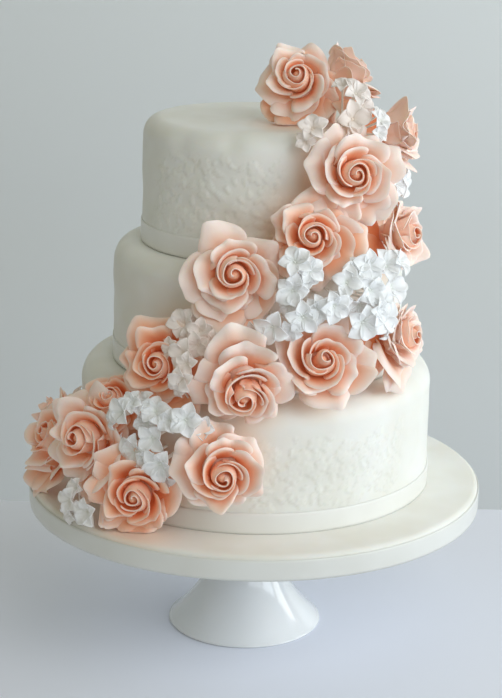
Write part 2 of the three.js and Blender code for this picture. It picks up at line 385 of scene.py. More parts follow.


# Rose paste: the warmth mark runs from pale outer petals to deep peach at the heart, partly the paste's
# own colour and partly painted shade in the folds, a little clouded. A petal's back takes a share of it and
# some warmth of its own, painted light that stands for light coming through, and its edges are paler by a
# painted highlight. The faint emission glow is painted light for that light coming through too.
def paintRose(tree, look, height, mottle):
    height, rim = veinsOf(tree, look, height)
    own, front = look["paintedBackGlow"], attributeOf(tree, "inside")
    share = calc(tree, "MULTIPLY_ADD", front, 1 - look["backShare"], look["backShare"])
    cloud = calc(tree, "MULTIPLY_ADD", mottle, look["cloud"], own - 0.5 * look["cloud"])
    clouded = calc(tree, "MULTIPLY_ADD", front, -own, cloud)
    warmth = calc(tree, "MULTIPLY_ADD", attributeOf(tree, "warmth"), share, clouded)
    # The paler edges are a painted highlight along the petal rims.
    pale = calc(tree, "MULTIPLY", rim, look["rimHighlightShare"])
    return mixOf(tree, pale, rampOf(tree, warmth, look["stops"]), look["rim"]), height, mottle


# The blossoms' faint emission glow is painted light, standing for light that comes through the thin petals.
blossomLook = {
    "bright": (250, 252, 255), "dull": (245, 248, 250), "heart": (236, 241, 230),
    "blush": (246, 216, 194), "veins": 3.0, "veinShare": 0.3, "scale": 300.0, "fine": 0.3,
    "bump": 0.1, "depth": 0.4 * mm, "rough": (0.5, -0.1),
    "sockets": {"Subsurface Weight": 0.3, "Subsurface Radius": (1, 0.95, 0.9),
                "Subsurface Scale": 1.5 * mm, "Specular IOR Level": 0.3,
                "Emission Color": (1, 0.9, 0.8, 1), "Emission Strength": 0.032},
}


# Blossom paste: two whites, greener towards the heart, with painted warm shade where they lie in the shade of
# roses close by.
def paintBlossom(tree, look, height, mottle):
    height, rim = veinsOf(tree, look, height)
    hearted = mixOf(tree, attributeOf(tree, "warmth"), whitesOf(tree, look, mottle), look["heart"])
    return mixOf(tree, attributeOf(tree, "blush"), hearted, look["blush"]), height, rim


icing = makeSurface("sugarIcing", icingLook, paintIcing)
porcelain = makeSurface("glazedPorcelain", porcelainLook)
satin = makeSurface("ivorySatin", satinLook, paintSatin)
paintedShadeSatin = makeSurface("ivorySatinPaintedShade", paintedShadeSatinLook, paintSatin)
rosePaste = makeSurface("peachPetalPaste", roseLook, paintRose)
blossomPaste = makeSurface("whitePetalPaste", blossomLook, paintBlossom)
print("materials made")

standLook = {"middle": -5.5 * mm, "height": 100 * mm, "foot": 57 * mm, "rim": 2.5 * mm, "flare": 52 * mm,
             "neck": 25 * mm, "swellAt": 55 * mm, "swell": 37 * mm, "plate": 118 * mm, "columns": 160}


# The foot falls from the neck as (1 - height share)^1.75, over a rounded rim; above the neck
# a cup swells out to a flat plate.
def standProfile(look):
    neck, foot, plate, top = look["neck"], look["foot"], look["plate"], look["height"]
    edge = [(foot - 2 * mm, 0), (foot - 0.6 * mm, 0.2 * mm), (foot, 1 * mm), (foot - 0.2 * mm, 2 * mm),
            (foot - 1.4 * mm, look["rim"])]
    share = np.linspace(0.01, 1, 40)
    bell = np.stack([neck + (foot - neck) * 0.96 * (1 - share) ** 1.75,
                     look["rim"] + share * look["flare"]], -1)
    cup = np.linspace(0, 1, 14)[1:]
    swell = np.stack([neck + (plate - 4 * mm - neck) * cup ** 2.6,
                      look["swellAt"] + look["swell"] * cup ** 0.75], -1)
    rim = [(plate - 1 * mm, top - 6.5 * mm), (plate, top - 4 * mm), (plate, top - 1 * mm),
           (plate - 1 * mm, top), (plate * 0.6, top), (4 * mm, top)]
    return np.concatenate([[(4 * mm, 0), (foot * 0.5, 0)], edge, bell, swell, rim])


profile = standProfile(standLook)
standRings = aboutCake(profile[:, :1], circle(standLook["columns"]), profile[:, 1:])
standRings[..., 0] += standLook["middle"]
makePiece("porcelainStand", [capped(standRings)], porcelain, "stand")
print("stand made")

# The cascade's places.
# Each row is a rose: the reach of its middle from the axis, its turn about the axis and its
# height, the turn and the tilt that it faces, its width, and its spin on its own axis.
roses = [
    [46, 32, 411, -6, 24, 54, 10], [64, 71.5, 414, 100, 38, 56, 40], [104, 66.5, 379, 80, 12, 52, 0],
    [110, 34.5, 357.5, 12, 12, 62, 55], [112, 18, 317.5, 6, 14, 58, 30], [116, 56.5, 313.5, 56, 10, 54, 15],
    [121, -7.5, 296.5, 2, 10, 62, 70], [132, 19.5, 240.5, 8, 26, 60, 230], [128, 50.5, 245, 62, 8, 54, 25],
    [132, -29, 234, -22, 12, 59, 5], [143, -3.5, 227.5, 0, -16, 64, 35], [154, -8.5, 173.5, 4, 4, 61, 60],
    [153, -31.5, 147.5, -12, 2, 60, 20], [153, -48.5, 177, -36, 15, 64, 45],
    [150, -71, 157, -60, 34, 62, 65], [136, -44.5, 200, -28, 38, 48, 30], [100, 112, 352, 112, 8, 56, 10],
    [122, 134, 285, 136, 10, 56, 50], [154, -102, 147, -106, 20, 56, 0],
]
# Each row is a blossom: reach, turn, height, the turn and tilt that it faces, and its spin.
blossoms = [
    [85, 47.5, 406, 30, 40, 12], [94, 40, 391, 20, 22, 50], [106, 48, 390, 45, 40, 30],
    [91, 22, 386, 0, 30, 66], [102, 72, 341.5, 74, 6, 20], [130, 10.5, 306.5, 0, 30, 10],
    [131, 10, 288.5, -10, 4, 40], [134, 4.5, 265, -18, -6, 25], [137, 12.5, 272, 8, -4, 60],
    [138, 21, 278.5, 14, 2, 5], [134, 25.5, 292, 8, 24, 33], [131, 33, 301, 26, 14, 48],
    [127, 41.5, 297.5, 30, 34, 15], [126, 44.5, 281.5, 48, 24, 55], [134, 33, 285.5, 30, 4, 28],
    [138, 30, 265.5, 20, -8, 44], [136, 37.5, 265.5, 44, -4, 8], [122, -23, 260, -30, 28, 20],
    [126, -17, 257.5, -8, 14, 52], [138, -20, 245, -26, 14, 36], [148, -18.5, 231.5, -30, -8, 64],
    [134, -16.5, 250.5, -12, 4, 4], [152, -35, 202, -46, 20, 18], [148, -26, 205.5, -22, 34, 58],
    [150, -17.5, 203.5, -4, 16, 40], [150, -26.5, 188, -22, 4, 10], [150, -31.5, 177, -42, 0, 46],
    [152, -24, 172, -20, -8, 26], [166, -48.5, 133.5, -48, 4, 34], [164, -42.5, 130.5, -38, 8, 62],
    [97, 89, 344.5, 95, 20, 14], [140, -108, 156, -106, 30, 38],
]


# A flower's middle and its own axes: right, up and out of its face.
def flowerPlace(row):
    reach, turn, height, faceTurn, faceTilt = row[:5]
    out = directionOf(faceTurn, faceTilt)
    right = directionOf(faceTurn + 90, 0)
    axes = np.stack([right, np.cross(out, right), out])
    return directionOf(turn, 0) * reach * mm + np.array([0, 0, height * mm]), axes


# Discs of icing. A dent is its turn, its height, width and depth in mm; a patch of relief is
# its first and last turn, its low and its high edge in mm.
boardLook = {"radius": 165 * mm, "low": 100.3 * mm, "high": 118 * mm, "shoulder": 4 * mm, "columns": 420,
             "step": 1.6 * mm, "wobble": 0.35 * mm, "seed": 3, "dents": [], "patches": [], "ribbonSeed": 21}
tierLooks = {
    "bottom": {"radius": 127 * mm, "low": 118.05 * mm, "high": 209 * mm, "shoulder": 16 * mm, "columns": 660,
               "step": 1.1 * mm, "wobble": 0.6 * mm, "seed": 11, "dents": [(62, 196, 14, 0.6)],
               "patches": [(-2, 54, 133, 186), (118, 176, 140, 196), (216, 262, 138, 190)], "ribbonSeed": 31},
    "middle": {"radius": 103.5 * mm, "low": 209.05 * mm, "high": 294 * mm, "shoulder": 14 * mm,
               "columns": 560, "step": 1.1 * mm, "wobble": 0.6 * mm, "seed": 12,
               "dents": [(-52, 280, 12, 0.7)], "patches": [(60, 120, 228, 280), (176, 232, 228, 282)],
               "ribbonSeed": 32},
    "top": {"radius": 83 * mm, "low": 294.05 * mm, "high": 382 * mm, "shoulder": 14 * mm, "columns": 480,
            "step": 1.05 * mm, "wobble": 0.7 * mm, "seed": 13,
            "dents": [(-40, 372, 9, 1.4), (-14, 374, 8, 1.2), (-66, 366, 12, 1.0)],
            "patches": [(-62, 12, 302, 366), (130, 200, 306, 368)], "ribbonSeed": 33},
}
# Slow waves, each its count round the disc and its share, that die out near the disc's foot
# and towards the middle of its top.
wobbleLook = {"waves": ((2, 0.5), (3, 0.4), (5, 0.3), (9, 0.16)), "share": 0.6, "climb": 100 * mm,
              "foot": 14 * mm, "blend": 10 * mm, "inner": 0.3, "dentSquash": 1.3}
# Stamps of flowers and leaves, their sizes in mm. They thin out over the sparse width at a
# patch's edge, and painted shade darkens the crease where a stamp starts to rise.
reliefLook = {"spacing": 6.4 * mm, "tries": 900, "flower": (4.2, 7.2), "leaf": (3.0, 5.5),
              "flowerShare": 0.45, "height": 0.75 * mm, "reach": 9 * mm, "fade": 9 * mm,
              "sparse": 13 * mm, "edgeShare": 0.25, "creaseShare": 0.6}


# A disc as (radius, height): its underside, a small heel, the side at the given step, a
# shoulder that is a quarter circle, and the top at a coarser step.
def discProfile(look):
    r, low, high, s, step = (look[key] for key in ("radius", "low", "high", "shoulder", "step"))
    heel = 0.4 * mm
    lower = np.radians(np.linspace(-90, 0, 4))
    upper = np.radians(np.linspace(0, 90, max(8, int(s * math.pi / 2 / step))))
    under = [(5 * mm, low), (r * 0.4, low), (r * 0.8, low)]
    foot = np.stack([r - heel + heel * np.cos(lower), low + heel + heel * np.sin(lower)], -1)
    side = np.linspace(low + heel, high - s, int((high - low - s) / step))[1:-1]
    wall = np.stack([np.full(len(side), r), side], -1)
    bend = np.stack([r - s + s * np.cos(upper), high - s + s * np.sin(upper)], -1)
    inner = np.linspace(r - s, 5 * mm, max(8, int((r - s) / (3 * step))))[1:]
    top = np.stack([inner, np.full(len(inner), high)], -1)
    return np.concatenate([under, foot, wall, bend, top])


# Sown places in a band of turn (as arc length) and height: random throws, each kept only
# where it is far enough from those before it.
def sown(luck, low, high):
    kept = np.zeros((0, 2))
    for throw in luck.uniform(low, high, (reliefLook["tries"], 2)):
        if np.all(np.linalg.norm(kept - throw, axis=1) > reliefLook["spacing"]):
            kept = np.concatenate([kept, throw[None]])
    return kept


# An embossed flower: sqrt(1 - q^2) with q = distance over an edge that swells at each of
# five petals, lower between the petals, a bead in the middle.
def embossedFlower(x, y, size, turn):
    far = np.hypot(x, y) / size
    around = np.abs(np.cos(2.5 * (np.arctan2(y, x) - turn)))
    q = far / (0.7 + 0.3 * around)
    body = np.sqrt(np.clip(1 - q * q, 0, 1)) * (0.6 + 0.4 * smooth(far / 0.5))
    return np.maximum(body * (0.55 + 0.45 * np.sqrt(around)), 0.9 * bump(far, 0.2))


# An embossed leaf: sqrt(1 - q^2) of a pointed oval, with a groove along its middle.
def embossedLeaf(x, y, size, turn):
    along = (x * math.cos(turn) + y * math.sin(turn)) / size
    across = (y * math.cos(turn) - x * math.sin(turn)) / (size * 0.42)
    q2 = along ** 2 + (across * (1 + 0.5 * along)) ** 2
    return np.sqrt(np.clip(1 - q2, 0, 1)) * (1 - 0.5 * bump(across, 0.22)) * 0.85


# How far an arc lies from a place on the disc's side, the short way round.
def arcFrom(arc, place, radius):
    half = math.pi * radius
    return (arc - place + half) % (2 * half) - half


# The relief over one patch and the painted shade in its creases: the highest of all stamps at each
# point, faded across the patch's edges.
def patchRelief(look, patch, arc, height, luck):
    turnLow, turnHigh, low, high = patch
    first = np.array([look["radius"] * math.radians(turnLow), low * mm])
    last = np.array([look["radius"] * math.radians(turnHigh), high * mm])
    reach, fade = reliefLook["reach"], reliefLook["fade"]
    found = np.zeros(arc.shape)
    for place in sown(luck, first, last):
        x, y = arcFrom(arc, place[0], look["radius"]), height - place[1]
        near = (np.abs(x) < reach) & (np.abs(y) < reach)
        inside = np.minimum(place - first, last - place).min()
        if luck.random() > reliefLook["edgeShare"] + smooth(inside / reliefLook["sparse"]):
            continue
        flower = luck.random() < reliefLook["flowerShare"]
        size = luck.uniform(*reliefLook["flower" if flower else "leaf"]) * mm
        turn = luck.uniform(0, fullTurn)
        stamp = embossedFlower if flower else embossedLeaf
        found[near] = np.maximum(found[near], stamp(x[near], y[near], size, turn) * luck.uniform(0.7, 1))
    x = arcFrom(arc, (first[0] + last[0]) / 2, look["radius"])
    edges = smooth(((last[0] - first[0]) / 2 - np.abs(x)) / fade + 0.5)
    edges = edges * smooth((height - first[1]) / fade + 0.5) * smooth((last[1] - height) / fade + 0.5)
    crease = smooth(found / 0.2) * (1 - smooth(found / 0.6)) * reliefLook["creaseShare"]
    return found * edges, crease * edges


blushLook = {"reach": 26 * mm, "fade": 24 * mm}


# How close the nearest rose stands, which sets the painted warm shade on the icing: 1 within the reach,
# falling smoothly to 0.
def blushOn(rings):
    near = np.full(rings.shape[:2], np.inf)
    for row in roses:
        near = np.minimum(near, np.linalg.norm(rings - flowerPlace(row)[0], axis=-1))
    return 1 - smooth((near - blushLook["reach"]) / blushLook["fade"])


# A disc of icing: its profile turned, then moved along the profile's normal by a hand-made
# wobble of slow waves, by its dents and by its relief.
def icedDisc(look):
    profile, radius, turn = discProfile(look), look["radius"], circle(look["columns"])
    slope = np.gradient(profile, axis=0)
    away = unit(np.stack([slope[:, 1], -slope[:, 0]], -1))
    luck = np.random.default_rng(look["seed"])
    height = profile[:, 1:] + 0 * turn
    arc = radius * turn + 0 * height
    waves = np.zeros(height.shape)
    for count, size in wobbleLook["waves"]:
        phase, rise = luck.uniform(0, fullTurn), luck.uniform(-30, 30)
        waves = waves + size * np.sin(count * turn + phase + rise * height / wobbleLook["climb"])
    inner = wobbleLook["inner"] * radius
    free = smooth((profile[:, 1:] - look["low"] - wobbleLook["foot"]) / wobbleLook["blend"])
    free = free * smooth((profile[:, :1] - inner) / inner)
    move = look["wobble"] * (waves - 1) * wobbleLook["share"] * free
    for at, z, width, deep in look["dents"]:
        x = arcFrom(arc, radius * math.radians(at), radius)
        y = (height - z * mm) * wobbleLook["dentSquash"]
        move = move - deep * mm * bump(np.hypot(x, y), width * mm)
    relief, crease = np.zeros(height.shape), np.zeros(height.shape)
    onSide = smooth((profile[:, :1] - radius + look["shoulder"]) / (look["shoulder"] * 0.6))
    for patch in look["patches"]:
        raised, creased = patchRelief(look, patch, arc, height, luck)
        relief, crease = np.maximum(relief, raised * onSide), np.maximum(crease, creased * onSide)
    move = move + reliefLook["height"] * relief
    rings = aboutCake(profile[:, :1] + move * away[:, :1], turn, height + move * away[:, 1:])
    return capped(rings, crease=crease, blush=blushOn(rings))


# Waves are counts round the disc and their shares; the lap is where the end that is laid over
# the ribbon starts and stops, in mm, and lapRise how long it takes to lie on it.
ribbonLook = {"gap": 0.04 * mm, "thick": 0.8 * mm, "tier": 15 * mm, "board": 14.7 * mm, "columns": 360,
              "rows": 9, "round": 0.25 * mm, "roundOver": 0.8 * mm, "wave": 0.25 * mm,
              "waves": ((7, 0.35), (13, 0.35), (29, 0.3)), "drift": 0.25 * mm, "lap": (-12, 9),
              "lapColumns": 30, "lapThick": 0.5 * mm, "lapLift": 0.35 * mm, "lapRise": 5}


# A ribbon round a disc: a rounded thin section carried round, a little proud in slow waves,
# and a second end laid over it at the back.
def ribbonBand(disc, width, look):
    luck = np.random.default_rng(disc["ribbonSeed"])
    low, high, rows, thick = disc["low"], disc["low"] + width, look["rows"], look["thick"]
    inner = disc["radius"] + look["gap"]
    up = np.linspace(low, high, rows)
    zs = np.concatenate([up, up[::-1]])[::-1, None]
    outwards = np.repeat([inner + thick, inner], rows)[:, None]
    corner = look["round"] * (1 - smooth(np.minimum(zs - low, high - zs) / look["roundOver"]))
    outwards = outwards + np.where(outwards > inner + thick / 2, -corner, corner * 0.3)
    turn = circle(look["columns"])
    slack = sum(s * np.sin(n * turn + luck.uniform(0, 6.28)) for n, s in look["waves"])
    lift = (zs - (low + high) / 2) / width * 2
    z = zs + look["drift"] * np.sin(3 * turn + 1.3) * (1 - np.abs(lift))
    r = outwards + np.maximum(0, look["wave"] * slack * 0.5 * lift) * 0.6
    quads = gridFaces(2 * rows, look["columns"], roundRows=True, roundColumns=True)
    run = np.linspace(*look["lap"], look["lapColumns"])[None, :]
    over = inner + thick + look["lapLift"] * smooth((run - look["lap"][0]) / look["lapRise"])
    lap = aboutCake(over, math.pi + run * mm / disc["radius"], low + width * np.linspace(0, 1, rows)[:, None])
    return [makePart(aboutCake(r, turn, z), quads), shell(lap, look["lapThick"])]


makePiece("icedBoard", [icedDisc(boardLook)], icing, "iced_board")
boardBand = ribbonBand(boardLook, ribbonLook["board"], ribbonLook)
makePiece("boardRibbon", boardBand, paintedShadeSatin, "ribbon_board")
for name, look in tierLooks.items():
    makePiece("icedTier_" + name, [icedDisc(look)], icing, "tier_" + name)
    band = ribbonBand(look, ribbonLook["tier"], ribbonLook)
    makePiece("tierRibbon_" + name, band, satin, "ribbon_" + name)
print("board, tiers and ribbons made")

# How flowers sit on the cake: how deep a stem's end is sunk, the steps of its path, and how
# much farther out petals stay at a ribbon, up to a little above it.
seatLook = {"sunk": 5 * mm, "steps": 12, "ribbon": 1.1 * mm, "above": 1 * mm, "under": 2 * mm}
discs = [boardLook, *tierLooks.values()]


# The nearest point of the board or a tier, a little under its surface.
def nearestSeat(point):
    reach, sunk = math.hypot(point[0], point[1]), seatLook["sunk"]
    found = []
    for look in discs:
        r = min(reach, look["radius"] - sunk)
        z = min(max(point[2], look["low"] + sunk), look["high"] - sunk)
        found.append((math.hypot(reach - r, point[2] - z), r, z))
    _, r, z = min(found)
    return np.array([point[0] / reach * r, point[1] / reach * r, z])


# Points too near the board or a tier go out to its surface plus a gap: the distance to a
# disc with a round shoulder is |max(q, 0)| + min(max(q), 0) - shoulder, where q is how far
# the point lies past the disc's straight faces, less the shoulder.
def clearOfCake(points, gap):
    points = points.copy()
    for look in discs:
        s = look["shoulder"]
        reach = np.hypot(points[:, 0], points[:, 1])
        skin = seatLook["ribbon"] if look is not boardLook else 0
        ribbon = np.where(points[:, 2] < look["low"] + ribbonLook["tier"] + seatLook["above"], skin, 0)
        qr = reach - (look["radius"] + ribbon - s)
        qz = points[:, 2] - (look["high"] - s)
        gr, gz = np.maximum(qr, 0), np.maximum(qz, 0)
        far = np.hypot(gr, gz) + np.minimum(np.maximum(qr, qz), 0) - s
        inside = (qr <= 0) & (qz <= 0)
        gr = np.where(inside, (qr > qz) * 1.0, gr)
        gz = np.where(inside, (qr <= qz) * 1.0, gz)
        size = np.maximum(np.hypot(gr, gz), 1e-9)
        push = np.maximum(gap - far, 0) * (points[:, 2] > look["low"] - seatLook["under"])
        grown = reach + push * gr / size
        points[:, :2] *= (grown / np.maximum(reach, 1e-9))[:, None]
        points[:, 2] += push * gz / size
    return points


# A shape in shares of a flower's half width, put at the flower's middle on its own axes.
def placed(shape, half, centre, axes):
    return centre + (shape * half) @ axes


def placedClear(sheet, gap, *spot):
    return clearOfCake(placed(sheet, *spot).reshape(-1, 3), gap).reshape(sheet.shape)


# A stem: a round section carried along a bent path from the flower's back into the cake. Each
# ring is square to the path, and its radius runs from the first to the last value.
def stemFrom(look, half, centre, axes, **marks):
    start, bend = (centre + axes[2] * share * half for share in look["back"])
    t = np.linspace(0, 1, seatLook["steps"])[:, None]
    path = start * (1 - t) ** 2 + 2 * bend * t * (1 - t) + nearestSeat(bend) * t ** 2
    radii = np.interp(t[:, 0], np.linspace(0, 1, len(look["stem"])), look["stem"]) * half
    along = unit(np.gradient(path, axis=0))
    side = unit(np.cross(along, [0.31, 0.17, 0.93]))  # no stem runs that way
    other = np.cross(along, side)
    turn = circle(look["stemColumns"])[..., None]
    ring = np.cos(turn) * side[:, None] + np.sin(turn) * other[:, None]
    return capped(path[:, None] + radii[:, None, None] * ring, **marks)


# Layers of petals, one column for each from the heart outwards, in shares of the rose's half
# width and in degrees: where a petal starts (base radius and low height), its length and half
# its spread, the angle over the face that it starts at and cups up to, and how much that angle
# differs (sway). It bends back in a broad reflex and, near the edge, in a narrow curl, of which
# the middle takes the lip's share. Droop, point, tip, wave and corner shape its outline; rise,
# spoon and ruffle move its face up and down; roll turns its sides back, and tuck takes one side
# under the next petal. Depth is how warm its edge is.
# The inner layers' higher depth is partly their own colour and partly painted shade deep in the rose.
layerTable = {
    "petals": (3, 3, 4, 5), "turn": (0, 62, 20, 50), "uneven": (0.08, 0.12, 0.16, 0.14),
    "base": (0.26, 0.26, 0.24, 0.2), "low": (-0.1, -0.24, -0.4, -0.5), "length": (0.5, 0.64, 0.85, 0.94),
    "spread": (70, 74, 60, 56), "start": (74, 60, 40, 18), "cup": (82, 73, 62, 40), "sway": (5, 7, 9, 8),
    "reflex": (14, 24, 44, 52), "reflexAt": (0.7, 0.66, 0.6, 0.56),
    "curl": (60, 64, 62, 55), "curlAt": (0.93, 0.93, 0.93, 0.94), "lip": (0.6, 0.5, 0.4, 0.3),
    "droop": (0.18, 0.2, 0.24, 0.24), "point": (2.2, 2.2, 2.0, 2.0), "tip": (0.03, 0.06, 0.12, 0.12),
    "wave": (0.01, 0.02, 0.04, 0.055), "corner": (0.2, 0.25, 0.2, 0.2),
    "rise": (0.05, 0.08, 0.09, 0.06), "spoon": (0.0, 0.02, 0.05, 0.08), "ruffle": (0.02, 0.04, 0.09, 0.13),
    "roll": (0.03, 0.05, 0.14, 0.18), "tuck": (0.3, 0.3, 0.2, 0.12), "depth": (0.32, 0.2, 0.05, -0.08),
}
roseLayers = [dict(zip(layerTable, column)) for column in zip(*layerTable.values())]
# Petals, the heart's wound sheet (bud), the cone and the stem, in the same shares. A petal's
# turn differs by up to shuffle degrees times its layer's unevenness; a loose petal starts lower.
# Pairs are the least and the most of a draw: for waves and ruffles how many there are, for the
# others a share of the layer's own value. Folded is the chance that a side rolls back farther, by
# foldRoll.
roseShape = {
    "rows": 20, "columns": 29, "thick": 0.7 * mm, "rimThick": 0.34 * mm, "gap": 0.9 * mm, "lean": 0.22,
    "cupAt": 0.6, "rollAt": 0.8, "tipWidth": 0.13, "pale": 0.12, "paleAt": 0.78, "shuffle": 110,
    "looseLower": 0.06, "droops": (0.7, 1.25), "waves": (1.0, 2.0), "reflexes": (0.6, 1.3),
    "curls": (0.6, 1.25), "ruffles": (1.1, 1.9), "rolls": (0.3, 1.1), "folded": 0.15, "foldRoll": 0.8,
    "budTurns": (1.4, 1.9), "budRadius": 0.25, "budHeight": 0.48, "budFoot": -0.05, "budLean": 0.1,
    "budFlare": 0.025, "budColumns": 76, "budRows": 13, "budThick": 0.5 * mm,
    "heartLean": 0.06, "pit": 0.05, "back": (-0.18, -0.62), "stemColumns": 14, "coneColumns": 16,
    "seed": 100,
    "stem": np.array([12, 8, 5, 4.6, 4.4]) / 31,
    "cone": [(0.02, -0.3), (0.2, -0.28), (0.17, 0.05), (0.12, 0.25), (0.07, 0.345), (0.02, 0.37)],
}
# Where a rose's heart lies off its middle and the pit off the heart, as shares of its half width
# to the right and up.
heartLeans = {1: (0.02, 0.1), 4: (-0.04, 0.0), 8: (-0.08, -0.04), 11: (0.04, -0.14), 12: (0.06, -0.12),
              13: (0.06, -0.04)}
heartPits = {1: (-0.03, 0.05), 4: (0.0, 0.0), 8: (0.13, 0.0), 13: (0.07, 0.06), 14: (-0.08, 0.0)}
# Roses whose outer petals stand more closed: their start, cup and reflex angles.
closedRoses = {2: (40, 64, 60), 3: (52, 76, 62), 6: (40, 66, 62), 9: (40, 68, 62), 19: (66, 86, 16)}
# How much warmer (or, below 0, paler) a rose's layers are than the others': painted light and shade, paler
# for roses in strong light and warmer for roses in shade.
paintedLightTints = {2: -0.62, 3: -0.55, 4: -0.05, 5: 0.14, 6: -0.36, 7: -0.1, 9: -0.28, 10: 0.36, 12: 0.12, 13: 0.4,
         16: 0.36}
# Roses that are narrower than their row says, as a share of that.
smallRoses = {19: 0.84}
# Single petals tucked under a rose's outer layer: their turn on its face, their length and cup angle as
# factors of that layer's, and how warm they are at the edge, which paints their shade: warmer in shade, paler
# in light.
loosePetals = {
    1: [(-75, 1.3, 0.8, 0.25), (-40, 1.15, 0.8, 0.15), (-8, 1.3, 0.9, 0.2), (-112, 1.3, 0.4, 0.4)],
    2: [(200, 1.1, 1.5, 0.1)],
    3: [(128, 1.6, -1.5, 0.4), (212, 1.1, -1.1, 0.4), (136, 1.25, 2.0, -0.3), (-95, 1.1, 1.3, -0.2)],
    4: [(-62, 1.05, 1.2, 0)],
    5: [(4, 1.25, 1.0, 0.4), (-22, 1.2, 1.3, 0.3)],
    6: [(172, 1.5, -0.6, 0.35), (214, 1.4, -0.3, 0.35)],
    7: [(-62, 1.25, 0.9, 0.25), (-98, 1.15, 0.8, 0.25)],
    8: [(-8, 1.2, 1.0, 0.2)],
    9: [(180, 1.4, -0.6, 0.5), (222, 1.4, -0.2, 0.0), (-85, 1.3, 1.0, -0.1), (-125, 1.25, 1.0, -0.1)],
    10: [(-88, 1.3, 0.7, 0.4), (-50, 1.3, 0.7, 0.4)],
    11: [(112, 1.1, 0.9, 0.1)],
    12: [(170, 1.15, 1.0, 0)],
    13: [(150, 1.25, 1.3, 0.25), (190, 1.15, 1.2, 0.3), (218, 1.0, 1.3, 0.3), (-78, 1.1, 1.1, 0.2)],
    14: [(-30, 1.3, 1.2, 0.1), (-75, 1.2, 0.9, 0.1)],
    15: [(-128, 1.35, 0.5, 0.15), (-88, 1.3, 0.5, 0.2)],
}


def swing(luck, size):
    return luck.uniform(-size, size)


# A petal: across runs from -1 to 1 and along from 0 at the base to 1 at the edge, in steps of
# its sine. Its length falls off as |a|^point, where a is across less the petal's lean, and as
# |across|^7 at its corners, with a small peak at a = 0 and a wavy edge. Its slope turns
# smoothly from the start angle to the cup angle and bends back in the reflex and the curl;
# radius and height are the running sums of the slope's cosine and sine. The radius is less on
# the side that tucks under, the edge ruffles as two sines across, and the border rolls back
# along the sheet's normal.
def petalSheet(layer, turn, luck):
    across = np.linspace(-1, 1, roseShape["columns"])[None, :]
    along = np.sin(np.linspace(0, math.pi / 2, roseShape["rows"]))[:, None]
    uneven = layer["uneven"]
    length = layer["length"] * luck.uniform(1 - uneven, 1 + 0.5 * uneven)
    a = across - swing(luck, roseShape["lean"])
    droop = layer["droop"] * np.where(a < 0, *luck.uniform(*roseShape["droops"], 2))
    fall = droop * np.abs(a) ** layer["point"]
    waves = luck.uniform(*roseShape["waves"])
    wave = layer["wave"] * np.sin(waves * math.pi * across + luck.uniform(0, fullTurn))
    peak = layer["tip"] * bump(a, roseShape["tipWidth"])
    length = length * (1 - fall - layer["corner"] * np.abs(across) ** 7 + peak + wave)
    start = math.radians(layer["start"])
    cup = math.radians(layer["cup"] + swing(luck, 1) * layer["sway"])
    reflex = math.radians(layer["reflex"] * luck.uniform(*roseShape["reflexes"])) * (0.8 + 0.3 * np.abs(a))
    lip = layer["lip"] + (1 - layer["lip"]) * np.abs(a) ** 1.3
    curl = math.radians(layer["curl"] * luck.uniform(*roseShape["curls"])) * lip
    curlAt = layer["curlAt"] + luck.uniform(-0.03, 0.01) - 0.04 * np.abs(a)
    reflexAt = layer["reflexAt"] + swing(luck, 0.06)
    slope = start + (cup - start) * smooth(along / roseShape["cupAt"])
    slope = slope - reflex * past(along, reflexAt) - curl * past(along, curlAt)
    step = np.diff(along, axis=0, prepend=0) * length
    r = layer["base"] + np.cumsum(np.cos(slope) * step, axis=0)
    z = layer["low"] + np.cumsum(np.sin(slope) * step, axis=0)
    r = r * (1 - layer["tuck"] * across * smooth(along * 1.4))
    phases, waves = luck.uniform(0, fullTurn, 2), luck.uniform(*roseShape["ruffles"])
    finer = 0.25 * np.sin(2.2 * waves * math.pi * across + phases[1]) * along
    ruffle = layer["ruffle"] * (np.sin(waves * math.pi * across + phases[0]) + finer) * along ** 3
    z = z + ruffle + (layer["rise"] * across + layer["spoon"] * across ** 2) * along
    r = r + 0.4 * ruffle
    spread = math.radians(layer["spread"] * luck.uniform(1 - uneven, 1 + uneven))
    sheet = aboutFlower(r, turn + spread * (0.6 + 0.4 * smooth(along / 0.4)) * across, z)
    sides = luck.uniform(*roseShape["rolls"], 2)
    sides = sides + (luck.random(2) < roseShape["folded"]) * roseShape["foldRoll"]
    border = past(np.abs(across), roseShape["rollAt"]) * np.where(across < 0, *sides) * smooth(along / 0.5)
    sheet = sheet + normalsOf(sheet) * (layer["roll"] * border ** 1.5)[..., None]
    # Warmth grows towards the petal's base, partly the paste's own colour and partly painted shade in the
    # folds, and falls a little near the edge.
    warmth = layer["depth"] + (1 - along) ** 1.1 - roseShape["pale"] * past(along, roseShape["paleAt"])
    thinner = smooth(np.maximum(along, across ** 2)) * (roseShape["rimThick"] - roseShape["thick"])
    marks = {"warmth": warmth + swing(luck, 0.06), "across": across, "along": along}
    return sheet, roseShape["thick"] + thinner, marks


